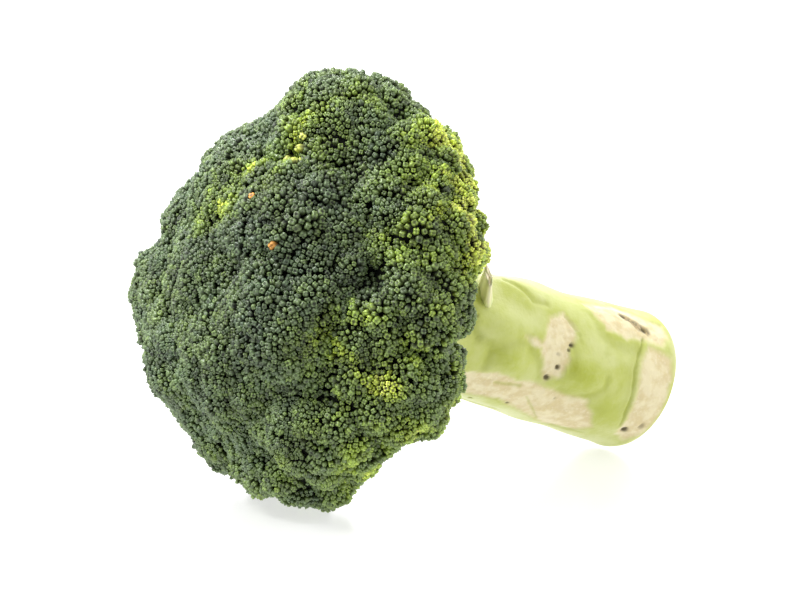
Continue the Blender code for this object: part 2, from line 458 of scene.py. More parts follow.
class Soup:
    """Collects points, faces and palette places, and makes one mesh of them."""

    def __init__(self):
        self.points, self.quads, self.tris, self.shades = [], [], [], []
        self.count = 0

    def add(self, points, quads, tris, shades):
        self.points.append(points)
        self.quads.append(np.asarray(quads, int).reshape(-1, 4) + self.count)
        self.tris.append(np.asarray(tris, int).reshape(-1, 3) + self.count)
        self.shades.append(shades)
        self.count += len(points)

    def build(self, name):
        points = np.concatenate(self.points)
        pressed = points[:, 2] < PRESS_HEIGHT
        points[pressed, 2] = PRESS_HEIGHT - (PRESS_HEIGHT - points[pressed, 2]) * PRESS_KEEP
        quads, tris = np.concatenate(self.quads), np.concatenate(self.tris)
        shades = np.concatenate(self.shades)
        return build_object(name, points, quads, tris, shades)


def build_object(name, points, quads, tris, shades):
    """An object from arrays. shades is each point's place in the palette, kept as its UV."""
    mesh = bpy.data.meshes.new(name)
    mesh.vertices.add(len(points))
    mesh.vertices.foreach_set("co", points.astype(np.float32).ravel())
    loops = np.concatenate([quads.ravel(), tris.ravel()]).astype(np.int32)
    starts = np.concatenate([np.arange(len(quads)) * 4, len(quads) * 4 + np.arange(len(tris)) * 3])
    mesh.loops.add(len(loops))
    mesh.loops.foreach_set("vertex_index", loops)
    mesh.polygons.add(len(starts))
    mesh.polygons.foreach_set("loop_start", starts.astype(np.int32))
    mesh.update(calc_edges=True)
    layer = mesh.uv_layers.new(name="OFBake")
    layer.data.foreach_set("uv", np.clip(shades, 0.01, 0.99)[loops].astype(np.float32).ravel())
    mesh.shade_smooth()
    return linked_object(name, mesh)


def linked_object(name, data):
    thing = bpy.data.objects.new(name, data)
    bpy.context.scene.collection.objects.link(thing)
    return thing


def ring_faces(rings, sides):
    """Quads that join rings of points, each ring following the one before it."""
    faces = []
    for ring in range(rings - 1):
        for side in range(sides):
            after = (side + 1) % sides
            low, high = ring * sides, (ring + 1) * sides
            faces.append((low + side, low + after, high + after, high + side))
    return np.array(faces)


def tip_faces(rings, sides):
    """Triangles that join the last ring to one point that follows it."""
    last = (rings - 1) * sides
    return np.array([(last + side, last + (side + 1) % sides, last + sides) for side in range(sides)])


def bud_template(rings):
    """Points, faces and palette offsets of one bud of unit radius and height, along +Z."""
    points, shades = [], []
    for radius, height, seam, hue, light in rings[:-1]:
        for side in range(BUD_SIDES):
            angle = 2.0 * math.pi * side / BUD_SIDES
            on_seam = side % (BUD_SIDES // SEPALS) == 0
            reach = radius * (seam if on_seam else 1.0)
            drop = SEAM_DROP * on_seam * max(height, 0.0)
            cosine, sine = math.cos(angle), math.sin(angle)
            points.append((reach * cosine, reach * sine, height - drop))
            # Painted shade in the seams between the sepals, on the bud's upper part.
            painted_seam_shade = SEAM_PAINTED_SHADE * on_seam * (height > 0.3)
            shades.append((hue + PALETTE_WOBBLE * cosine, light + painted_seam_shade + PALETTE_WOBBLE * sine))
    _, height, _, hue, light = rings[-1]
    points.append((0.0, 0.0, height))
    shades.append((hue, light))
    rows = len(rings) - 1
    return np.array(points), ring_faces(rows, BUD_SIDES), tip_faces(rows, BUD_SIDES), np.array(shades)


def many_copies(template, places, frames, radii, heights, shades, strength, rng):
    """The template repeated at each place, in each place's own frame and size, each a bit uneven."""
    points, quads, tris, offsets = template
    count, size = len(places), len(points)
    side, other, axis = frames
    shape = points[None] * (1.0 + 0.06 * rng.normal(size=(count, size, 1)))
    shape = shape * rng.uniform(0.90, 1.10, (count, 1, 3))
    copies = (
        places[:, None, :]
        + side[:, None, :] * (shape[:, :, 0] * radii[:, None])[:, :, None]
        + other[:, None, :] * (shape[:, :, 1] * radii[:, None])[:, :, None]
        + axis[:, None, :] * (shape[:, :, 2] * heights[:, None])[:, :, None]
    ).reshape(-1, 3)
    shift = (np.arange(count) * size)[:, None, None]
    all_quads = (quads[None] + shift).reshape(-1, 4)
    all_tris = (tris[None] + shift).reshape(-1, 3)
    all_shades = (shades[:, None, :] + offsets[None] * strength[:, None, :]).reshape(-1, 2)
    return copies, all_quads, all_tris, all_shades


def tube(path, radii, sides, shades):
    """A round stem along a path, closed by a point at its far end."""
    path = np.asarray(path)
    steps = unit(np.gradient(path, axis=0))
    helper = np.array([0.0, 1.0, 0.0]) if abs(steps[:, 1]).max() < 0.85 else np.array([0.0, 0.0, 1.0])
    side = unit(np.cross(steps, helper))
    other = np.cross(steps, side)
    circle = circle_points(turns_of(sides))
    ring = side[:, None, :] * circle[None, :, :1] + other[:, None, :] * circle[None, :, 1:]
    points = (path[:, None, :] + ring * np.asarray(radii)[:, None, None]).reshape(-1, 3)
    points = np.concatenate([points, path[-1:]])
    spread = (np.asarray(shades)[:, None, :] + 2.0 * PALETTE_WOBBLE * circle[None]).reshape(-1, 2)
    spread = np.concatenate([spread, np.asarray(shades)[-1:]])
    return points, ring_faces(len(path), sides), tip_faces(len(path), sides), spread


def curve_path(start, middle, end, count):
    """Points along a curve that leaves its start towards the middle and bends to its end."""
    share = np.linspace(0.0, 1.0, count)[:, None]
    return (1 - share) ** 2 * start + 2 * share * (1 - share) * middle + share**2 * end


# ---------------------------------------------------------------- florets
def youth_at(directions):
    """How yellow the buds are, from 0 to about 0.8, by patch and by place on the crown."""
    youth = np.zeros(len(directions))
    for polar, roll, size, strength in PATCHES:
        youth = np.maximum(youth, strength * spot(directions, polar, roll, size))
    rim = smooth_step(92.0, 112.0, polar_of(directions))
    return np.maximum(youth, 0.42 * rim)


def from_cluster(points, owners, clusters):
    """How far, and which way, each bud is from the middle of its cluster."""
    return points - clusters["point"][owners]


def reach_of(owners, clusters):
    """The radius of each bud's own cluster."""
    return clusters["size"][owners] * CLUSTER_REACH


def bud_shades(points, owners, clusters, rng):
    """Each bud's place in the palette: hue from blue-green to yellow, and lightness."""
    directions = unit(points - CROWN_CENTRE)
    count = len(points)
    clumps = 0.52 + 1.00 * smooth_step(-0.20, 0.22, noise_at(points, 0.0075, 5.0))
    youth = youth_at(directions) * clumps * rng.uniform(0.75, 1.15, count)
    hue = 0.14 + 0.07 * smooth_step(45.0, 90.0, polar_of(directions))
    hue = hue + 0.08 * noise_at(points, 0.016) + 0.025 * clusters["tint"][owners]
    hue = hue + 0.038 * rng.normal(size=count) + youth * 0.50
    light = 0.54 + 0.06 * rng.normal(size=count) + 0.09 * noise_at(points, 0.011, 2.0)
    # Painted shade: buds darker towards the edge of their cluster, in the gaps between clusters.
    apart = np.linalg.norm(from_cluster(points, owners, clusters), axis=1)
    light = light - 0.09 * smooth_step(0.55, 1.15, apart / reach_of(owners, clusters))
    # Lighter towards the lower side at (78, 165): partly paler young buds, partly painted light on the
    # crown's lower rim.
    light = light + 0.060 * smooth_step(75.0, 20.0, degrees_between(directions, outward(78, 165)))
    # Painted light: buds lighter the farther they lie from the middle of the near side at (56, 92), as if
    # lit by the bright surround at the crown's rim.
    light = light + 0.075 * smooth_step(30.0, 66.0, degrees_between(directions, outward(56, 92)))
    hue = np.clip(hue, 0.02, GREENEST)
    for polar, roll in SPOTS:
        near = nearest_bud(points, polar, roll)
        hue[near] = SPOT_HUE + 0.04 * rng.random()
        light[near] = 0.48
    for polar, roll in BLOOMS:
        near = nearest_bud(points, polar, roll)
        hue[near] = BLOOM_HUE + 0.03 * rng.random()
        light[near] = 0.46
    return np.stack([hue, np.clip(light, 0.25, 0.80)], axis=1)


def nearest_bud(points, polar, roll):
    place = crown_points(outward(polar, roll)[None])[0]
    return np.argmin(np.linalg.norm(points - place, axis=1))


def add_buds(soup, buds, clusters, templates, rng):
    """The buds of one floret, standing out of the crown and fanned out over each cluster."""
    points, owners, pitch, shades = buds
    count = len(points)
    directions = unit(points - CROWN_CENTRE)
    normals = crown_normals(directions)
    from_middle = from_cluster(points, owners, clusters)
    apart = np.linalg.norm(from_middle, axis=1) / reach_of(owners, clusters)
    relief = CLUSTER_RISE * (0.8 + 0.7 * smooth_step(60.0, 95.0, polar_of(directions)))
    rise = relief * (0.7 - np.clip(apart, 0.0, 1.3) ** 2) + clusters["lift"][owners]
    rise = rise + 0.00030 * rng.normal(size=count) + 0.0005 * noise_at(points, 0.0042, 12.0)
    axes = unit(normals + from_middle / CLUSTER_FAN + 0.16 * rng.normal(size=points.shape))
    side, other = tangents_of(axes)
    turn = rng.uniform(0.0, 2.0 * math.pi, (count, 1))
    first = side * np.cos(turn) + other * np.sin(turn)
    second = np.cross(axes, first)
    size = 1.0 + 0.13 * rng.normal(size=count)
    radii = np.clip(pitch * 0.54 * size, 0.0006, 0.0013)
    opening = shades[:, 0] > GREENEST
    radii = radii * np.where(opening, BLOOM_GROWTH, 1.0)
    heights = radii * rng.uniform(1.8, 2.5, count)
    places = points + normals * rise[:, None] - axes * heights[:, None] * 0.55
    places[:, 2] = np.maximum(places[:, 2], heights * 0.3)
    hue_range = np.where(opening, 0.2, 1.0 + 2.0 * (shades[:, 0] - 0.15))
    # The second column scales each bud's palette offsets, and with them its painted shade and highlight.
    strength = np.stack([hue_range, rng.uniform(0.6, 1.3, count)], axis=1)
    cupped = rng.random(count) < CUPPED_SHARE
    for template, chosen in ((templates[0], ~cupped), (templates[1], cupped)):
        frames = (first[chosen], second[chosen], axes[chosen])
        sizes = (radii[chosen], heights[chosen])
        looks = (shades[chosen], strength[chosen])
        soup.add(*many_copies(template, places[chosen], frames, *sizes, *looks, rng))


CORE_ROWS = 30
CORE_COLUMNS = 44
# How far the core stays below the buds' ground, where that is level, and above the floor.
CORE_DEPTH = 0.0023
CORE_FLOOR = 0.0012


def inner_layer(soup, index):
    """The core under the buds, painted dark as their shade where it lies under them and lighter towards the
    branch, tapering like an umbrella towards the branch.
    """
    centre, radius = BALL_CENTRES[index], BALL_RADII[index]
    rows, columns = CORE_ROWS, CORE_COLUMNS
    backward = unit(branch_root(index) - centre)
    side, other = (part[0] for part in tangents_of(backward[None]))
    angles = np.linspace(0.0, math.pi, rows)
    turns = turns_of(columns)
    directions = (
        backward * np.cos(angles)[:, None, None]
        + side * (np.sin(angles)[:, None] * np.cos(turns)[None])[:, :, None]
        + other * (np.sin(angles)[:, None] * np.sin(turns)[None])[:, :, None]
    ).reshape(-1, 3)
    alpha = np.degrees(np.repeat(angles, columns))
    reach = radius * (FLORET_DEPTH + (1.0 - FLORET_DEPTH) * smooth_step(15.0, 85.0, alpha))
    for other_centre, other_radius in zip(BALL_CENTRES, BALL_RADII):
        apart = np.linalg.norm(other_centre - centre)
        if apart < 1e-6:
            continue
        normal = (other_centre - centre) / apart
        share = (apart**2 + radius**2 - other_radius**2) / (2.0 * apart) + 0.0002
        facing = directions @ normal
        reach = np.minimum(reach, np.where(facing > 1e-3, share / np.maximum(facing, 1e-3), 1.0))
    points = centre + directions * reach[:, None]
    outer = points - CROWN_CENTRE
    depth = np.linalg.norm(outer, axis=1)
    outward_units = outer / depth[:, None]
    steepness = (crown_normals(outward_units) * outward_units).sum(axis=1)
    limit = crown_reach(outward_units) - CORE_DEPTH / np.clip(steepness, 0.35, 1.0)
    points = CROWN_CENTRE + outer * np.minimum(1.0, limit / depth)[:, None]
    points[:, 2] = np.maximum(points[:, 2], CORE_FLOOR)
    under = 1.0 - smooth_step(60.0, 100.0, alpha)
    # Painted shade: the core is darkest where it lies under the buds and lighter on its underside, where
    # under is 1.
    hue = 0.20 + 0.22 * under + 0.03 * noise_at(points, 0.003)
    light = 0.13 + 0.30 * under + 0.04 * noise_at(points, 0.0025, 4.0)
    soup.add(points, ring_faces(rows, columns)[:, ::-1], [], np.stack([hue, light], axis=1))


def branch_root(index):
    """The end of a branch's CAD node that is farther from its floret, on the stalk."""
    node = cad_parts[f"branch_{index + 1:02d}"].data
    points = np.array([vert.co for vert in node.vertices])
    centre = BALL_CENTRES[index]
    apart = np.linalg.norm(points - centre, axis=1)
    far = points[apart > apart.max() - 0.004]
    return far.mean(axis=0)


# ---------------------------------------------------------------- branches
FORKS = 5
BRANCH_STEPS = 26
BRANCH_SIDES = 28
STEM_STEPS = 10
# A branch starts inside the stalk: this far down the axis from its root, at this share of its radius.
START_ALONG = 0.020
START_SHARE = 0.40
# How far below the ground of its cluster a stem ends.
STEM_DEPTH = 0.0040


def spread_out(points, count):
    """Indices of a few points that are far from each other."""
    chosen = [int(np.argmax(np.linalg.norm(points - points.mean(axis=0), axis=1)))]
    while len(chosen) < min(count, len(points)):
        apart = np.linalg.norm(points[:, None] - points[chosen][None], axis=2).min(axis=1)
        chosen.append(int(np.argmax(apart)))
    return chosen


def stem(soup, course, radii, sides, shades):
    """A curved stem by three points, with the radii and the palette places of its two ends."""
    along = np.linspace(0.0, 1.0, STEM_STEPS)
    thick, thin = radii
    tapered = thin + (thick - thin) * (1.0 - along) ** 1.2
    first, last = np.array(shades)
    colours = first + (last - first) * along[:, None]
    soup.add(*tube(curve_path(*course, STEM_STEPS), tapered, sides, colours))


def add_branch(index, clusters, rng):
    """One primary branch, its forks, and the stems from these to each cluster of buds."""
    centre, radius = BALL_CENTRES[index], BALL_RADII[index]
    root = branch_root(index)
    along_axis = (root - CROWN_CENTRE) @ ALONG
    on_axis = CROWN_CENTRE + ALONG * (along_axis + START_ALONG)
    start = on_axis + (root - CROWN_CENTRE - ALONG * along_axis) * START_SHARE
    toward = unit(centre - root)
    tip = root + toward * (np.linalg.norm(centre - root) - radius * 0.42)
    soup = Soup()
    share = np.linspace(0.0, 1.0, BRANCH_STEPS)
    path = curve_path(start, root + toward * 0.002, tip, BRANCH_STEPS)
    path = path + rng.normal(size=3) * 0.0010 * np.sin(share * 2.0 * math.pi)[:, None]
    thick = radius * (0.19 + 0.13 * (1.0 - share) ** 2 + 0.15 * smooth_step(0.60, 1.0, share))
    thick = thick * (0.50 + 0.50 * smooth_step(0.0, 0.34, share))
    shade = np.stack([0.72 - 0.22 * share + 0.02 * rng.normal(), 0.59 - 0.07 * share], axis=1)
    soup.add(*fluted(tube(path, thick, BRANCH_SIDES, shade), path, rng))
    mine = np.nonzero(clusters["owner"] == index)[0]
    targets = clusters["point"][mine] - clusters["normal"][mine] * STEM_DEPTH
    seeds = spread_out(targets, FORKS)
    group = np.linalg.norm(targets[:, None] - targets[seeds][None], axis=2).argmin(axis=1)
    for fork in range(len(seeds)):
        ends = targets[group == fork]
        knot = tip + (ends.mean(axis=0) - tip) * 0.45 + rng.normal(size=3) * 0.0006
        back = tip - toward * radius * rng.uniform(0.10, 0.22)
        bend = tip + toward * radius * 0.06
        stem(soup, (back, bend, knot), (0.0040, 0.0028), 12, [(0.52, 0.54), (0.46, 0.50)])
        for end in ends:
            aim = knot + (knot - tip) * 0.35
            foot = knot - unit(knot - tip) * 0.0015
            stem(soup, (foot, aim, end), (0.0024, 0.0013), 7, [(0.45, 0.50), (0.36, 0.40)])
    return soup.build(f"branch_{index + 1:02d}_stems")


def fluted(part, path, rng):
    """A tube with soft ribs along it, which are a little lighter than the grooves between them."""
    points, quads, tris, shades = part
    angle = np.tile(turns_of(BRANCH_SIDES), len(path))
    phase = rng.uniform(0.0, 2.0 * math.pi)
    wave = np.cos(5.0 * angle + phase) + 0.5 * np.cos(3.0 * angle + 2.0 * phase)
    middle = np.repeat(path, BRANCH_SIDES, axis=0)
    swell = 1.0 + 0.055 * wave + 0.03 * noise_at(points[:-1], 0.005)
    points[:-1] = middle + (points[:-1] - middle) * swell[:, None]
    shades[:-1, 0] -= 0.035 * wave
    shades[:-1, 1] += 0.025 * wave + 0.03 * noise_at(points[:-1], 0.003, 4.0)
    return points, quads, tris, shades


# ---------------------------------------------------------------- materials
class Graph:
    """The nodes of a material or world. An input takes a number, a colour or another node's output."""

    def __init__(self, owner):
        owner.use_nodes = True
        self.owner = owner
        self.nodes = owner.node_tree.nodes
        self.links = owner.node_tree.links

    def feed(self, node, inputs):
        for key, value in inputs.items():
            socket = node.inputs[key]
            if isinstance(value, bpy.types.NodeSocket):
                self.links.new(value, socket)
            elif socket.type == "RGBA":
                socket.default_value = (*value, 1.0)
            else:
                socket.default_value = value
        return node

    def add(self, kind, inputs, **settings):
        node = self.nodes.new("ShaderNode" + kind)
        for key, value in settings.items():
            setattr(node, key, value)
        return self.feed(node, inputs)

    def ramp(self, stops, place):
        node = self.add("ValToRGB", {"Fac": place})
        elements = node.color_ramp.elements
        while len(elements) < len(stops):
            elements.new(0.5)
        for element, (position, colour) in zip(elements, stops):
            element.position = position
            element.color = (*colour, 1.0)
        return node.outputs["Color"]

    def math(self, operation, first, second):
        return self.add("Math", {0: first, 1: second}, operation=operation).outputs[0]

    def mix(self, factor, first, second):
        """One colour turning into another as the factor goes from 0 to 1."""
        return self.add("Mix", {0: factor, 6: first, 7: second}, data_type="RGBA").outputs[2]

    def attribute(self, name):
        return self.add("Attribute", {}, attribute_name=name).outputs["Fac"]

    def noise(self, place, scale, detail):
        return self.add("TexNoise", {"Vector": place, "Scale": scale, "Detail": detail}).outputs["Fac"]

    def range(self, value, low, high, to_low=0.0, to_high=1.0):
        """The value's way from low to high, as its way from to_low to to_high."""
        ends = {"From Min": low, "From Max": high, "To Min": to_low, "To Max": to_high}
        return self.add("MapRange", {"Value": value, **ends}).outputs["Result"]


BUD_COLOURS = [
    (0.00, (0.044, 0.070, 0.040)),
    (0.15, (0.063, 0.094, 0.036)),
    (0.30, (0.100, 0.148, 0.028)),
    (0.45, (0.184, 0.255, 0.026)),
    (0.58, (0.340, 0.410, 0.036)),
    (0.68, (0.580, 0.600, 0.150)),
    (0.80, (0.200, 0.100, 0.035)),
    (0.92, (0.550, 0.250, 0.035)),
]
STEM_COLOURS = [
    (0.00, (0.050, 0.085, 0.030)),
    (0.30, (0.160, 0.260, 0.060)),
    (0.48, (0.300, 0.430, 0.110)),
    (0.60, (0.410, 0.500, 0.150)),
    (0.75, (0.470, 0.510, 0.150)),
]
STUB_COLOURS = [
    (0.40, (0.300, 0.380, 0.080)),
    (0.62, (0.620, 0.650, 0.300)),
    (0.76, (0.680, 0.620, 0.400)),
    (0.86, (0.600, 0.500, 0.320)),
]
# The palette's lightness is squared and multiplied by this, so that 0.59 leaves a colour as it is.
PALETTE_LIGHT = 2.9


def palette_material(name, stops, roughness, scatter):
    """A colour that depends only on a point's place in the palette: hue across, lightness up."""
    graph = Graph(bpy.data.materials.new(name))
    place = graph.add("UVMap", {}, uv_map="OFBake").outputs["UV"]
    split = graph.add("SeparateXYZ", {0: place})
    hue, light = split.outputs["X"], split.outputs["Y"]
    strength = graph.math("MULTIPLY", graph.math("MULTIPLY", light, light), PALETTE_LIGHT)
    lit = {0: graph.ramp(stops, hue), "Scale": strength}
    colour = graph.add("VectorMath", lit, operation="SCALE").outputs["Vector"]
    rough = graph.range(light, 0.2, 0.9, roughness + 0.15, roughness - 0.10)
    dull = graph.range(light, 0.30, 0.15, 0.0, 0.40)
    looks = {
        "Base Color": colour,
        "Roughness": graph.math("ADD", rough, dull),
        "Subsurface Weight": scatter,
        "Subsurface Radius": (0.5, 1.0, 0.25),
        "Subsurface Scale": 0.0012,
    }
    graph.feed(graph.nodes["Principled BSDF"], looks)
    return graph.owner


# ---------------------------------------------------------------- stalk
STALK_OUTLINE = [
    (0.0020, 0.0000),
    (0.0060, 0.0120),
    (0.0130, 0.0180),
    (0.0260, 0.0208),
    (0.0440, 0.0214),
    (0.0640, 0.0219),
    (0.0840, 0.0227),
    (0.1030, 0.0237),
    (0.1200, 0.0249),
    (0.1350, 0.0260),
    (0.1398, 0.0264),
    (0.1415, 0.0259),
    (0.1424, 0.0247),
]
# The cut is a little oblique: how far it leans along the axis, and the angle of its farthest side.
CUT_LEAN = 0.0017
CUT_SIDE = 40.0
# Swellings: distance along the axis, angle, height, half length, half width in degrees, green.
SWELLINGS = [
    (0.0640, 77, 0.0028, 0.0125, 17, 0.5),
    (0.0700, 104, 0.0024, 0.0080, 12, 0.9),
    (0.1015, 98, 0.0028, 0.0105, 16, 1.0),
    (0.0730, 30, 0.0018, 0.0120, 20, 0.3),
    (0.1180, 38, 0.0012, 0.0120, 18, 0.0),
    (0.1160, 122, 0.0008, 0.0070, 14, 0.8),
    (0.0860, 350, 0.0022, 0.0150, 26, 0.5),
    (0.0780, 215, 0.0022, 0.0130, 28, 0.7),
    (0.1100, 262, 0.0021, 0.0130, 26, 0.9),
    (0.0700, 290, 0.0020, 0.0120, 24, 0.6),
    (0.1180, 330, 0.0018, 0.0100, 24, 0.8),
    (0.0980, 192, 0.0014, 0.0120, 18, 0.5),
]
# Corky, beige areas where leaves came off: outlines of (mm along the axis, angle).
CORK = [
    [(84, 54), (92, 46), (97, 60), (97, 70), (94, 80), (94, 92), (92, 106), (88, 113), (85, 109),
     (83, 95), (80, 84), (82, 72)],
    [(73, 80), (78, 77), (84, 80), (84, 88), (78, 87)],
    [(54, 130), (60, 124), (68, 117), (76, 121), (86, 117), (96, 120), (108, 117), (115, 131),
     (120, 145), (116, 162), (106, 170), (93, 160), (77, 150), (66, 158), (55, 160)],
    [(129, 59), (125.5, 75), (126, 92), (127.5, 108), (129.5, 131), (131, 146), (138, 149),
     (140.6, 132), (141, 110), (140.4, 90), (139, 64)],
    [(104, 24), (108, 42), (111, 54), (119, 58), (127, 56), (135, 57), (139, 48), (138, 34),
     (130, 24), (119, 18)],
    [(76, 244), (84, 238), (90, 248), (88, 266), (80, 270), (75, 258)],
    [(108, 196), (118, 190), (128, 200), (127, 216), (116, 222), (109, 210)],
    [(92, 300), (99, 296), (104, 308), (101, 324), (94, 326), (90, 312)],
    [(127, 240), (133, 236), (137, 262), (137, 300), (131, 306), (126, 280)],
    [(58, 322), (66, 316), (70, 332), (64, 344), (57, 338)],
]
# Creases: line of (mm along the axis, angle), half width in mm, depth in mm, darkness, which is painted
# shade in the creases and partly an olive tint.
CREASES = [
    ([(127, 54), (125, 68), (123.5, 83), (124.5, 95), (126, 108), (126.8, 119), (129, 132)], 0.7, 0.7, 0.75),
    ([(124, 62), (122.5, 82), (123.2, 98), (125, 116)], 3.0, 0.4, 0.40),
    ([(106, 42), (108, 60), (112.5, 67), (118.5, 69), (124, 68)], 2.6, 0.7, 0.30),
    ([(95, 116), (102, 119), (107.5, 113), (112, 104), (111.5, 97)], 1.6, 0.6, 0.45),
    ([(50, 90), (54, 95), (62, 96), (67, 91), (75, 83)], 2.2, 0.7, 0.42),
    ([(77, 90), (82, 98), (85, 111)], 1.8, 0.6, 0.45),
    ([(50, 68), (49.5, 82), (54, 92)], 1.6, 0.8, 0.70),
    ([(60.5, 100), (61.5, 118)], 1.7, 0.6, 0.60),
    ([(92, 50), (95, 57), (98, 66)], 0.5, 0.4, 0.35),
    ([(70, 130), (75, 128), (80, 126)], 0.8, 0.2, 0.50),
    ([(86, 136), (92.5, 148), (100, 163)], 0.5, 0.3, 0.45),
    ([(106, 172), (113, 165), (120, 158)], 0.9, 0.2, 0.45),
    ([(68, 25), (75, 35), (78, 43), (84, 42)], 1.4, 0.7, 0.55),
    ([(95, 78), (96, 86), (95, 94)], 1.5, 0.4, 0.45),
    ([(72, 236), (74, 256), (76, 274)], 1.5, 0.7, 0.50),
    ([(104, 192), (105, 208), (110, 222)], 1.4, 0.6, 0.50),
    ([(125, 236), (124, 262), (125, 300)], 1.0, 0.8, 0.65),
    ([(88, 296), (87, 312), (90, 328)], 1.5, 0.6, 0.45),
    ([(60, 190), (70, 186), (84, 176)], 1.6, 0.5, 0.40),
    ([(64, 268), (82, 282), (98, 286)], 1.8, 0.5, 0.35),
    ([(102, 340), (114, 352), (128, 356)], 1.8, 0.5, 0.35),
]
# Brown marks: mm along the axis, angle, half length in mm, half width in degrees, strength.
MARKS = [
    (94.5, 76, 1.2, 2.6, 1.0),
    (93.4, 81, 0.8, 2.2, 0.8),
    (90.1, 98, 1.1, 2.8, 1.0),
    (88.1, 110, 1.2, 3.0, 1.0),
    (89.2, 87, 1.4, 2.4, 0.35),
    (121.3, 33, 1.3, 2.2, 1.0),
    (128.9, 43, 1.4, 2.4, 1.0),
    (133.1, 137, 1.5, 3.4, 1.0),
    (137.6, 127, 1.3, 3.6, 0.55),
    (82.3, 152, 0.8, 2.0, 0.9),
    (69.5, 165, 0.8, 2.0, 0.9),
    (96.5, 128, 0.6, 1.8, 0.4),
    (51.7, 74, 0.6, 1.6, 0.5),
    (81.0, 248, 1.3, 3.2, 1.0),
    (96.5, 305, 1.3, 3.2, 1.0),
    (133.0, 270, 1.3, 3.2, 0.9),
]
# Torn brown marks: line of (mm along the axis, angle), half width in mm, strength.
TEARS = [
    ([(120.4, 34), (123.4, 35), (125.2, 40), (129.8, 44)], 1.9, 0.85),
    ([(116.0, 203), (119.5, 207), (123.0, 207)], 1.6, 0.80),
]
# One degree round the stalk as a length, for measuring on its unrolled side.
DEGREE = 0.0232 * math.pi / 180.0
# Ribs under the branches: height, half width in degrees, and where they start and finish fading.
RIB_HEIGHT = 0.0052
RIB_WIDTH = 14.0
RIB_FADE = (0.001, 0.020)
# Brown marks and tears are sunk this deep.
MARK_DEPTH = 0.0006
# The skin's unevenness is read from noise on a plain cylinder of this radius.
SKIN_RADIUS = 0.023


def turned(angle, middle):
    """Angles as degrees either side of a middle one."""
    return (angle - middle + 180.0) % 360.0 - 180.0


def falloff(distance, angle, along, roll, half_length, half_width):
    """0 at a mark's middle and 1 at its edge, on the unrolled side of the stalk."""
    return np.hypot((distance - along) / half_length, turned(angle, roll) / half_width)


def line_distance(distance, angle, line, closed=False):
    """The distance on the unrolled side from each place to a line of (mm, degrees)."""
    middle = line[0][1]
    places = np.stack([distance, turned(angle, middle) * DEGREE], axis=1)
    stops = np.array([(along / 1000.0, (roll - middle) * DEGREE) for along, roll in line])
    if closed:
        stops = np.concatenate([stops, stops[:1]])
    nearest = np.full(len(distance), 1.0)
    for first, second in zip(stops, stops[1:]):
        span = second - first
        share = np.clip(((places - first) @ span) / (span @ span), 0.0, 1.0)
        apart = np.linalg.norm(places - first - share[:, None] * span, axis=1)
        nearest = np.minimum(nearest, apart)
    return nearest


def inside_outline(distance, angle, line):
    """Whether each place on the unrolled side is inside an outline, by counting crossings."""
    middle = line[0][1]
    across = turned(angle, middle) * DEGREE
    stops = [(along / 1000.0, (roll - middle) * DEGREE) for along, roll in line]
    inside = np.zeros(len(distance), bool)
    for (x0, y0), (x1, y1) in zip(stops, stops[1:] + stops[:1]):
        if y0 == y1:
            continue
        crosses = (across > min(y0, y1)) & (across <= max(y0, y1))
        inside ^= crosses & (distance < x0 + (across - y0) * (x1 - x0) / (y1 - y0))
    return inside


def branch_ribs(distance, angle):
    """Ribs that run down the top of the stalk from the foot of each branch."""
    lift = np.zeros(len(distance))
    for index in range(len(FLORETS)):
        offset = branch_root(index) - CROWN_CENTRE
        along = offset @ ALONG
        roll = math.degrees(math.atan2(offset @ NEAR, offset @ ABOVE))
        fade = 1.0 - smooth_step(along + RIB_FADE[0], along + RIB_FADE[1], distance)
        lift = np.maximum(lift, RIB_HEIGHT * fade * np.exp(-((turned(angle, roll) / RIB_WIDTH) ** 2)))
    return lift


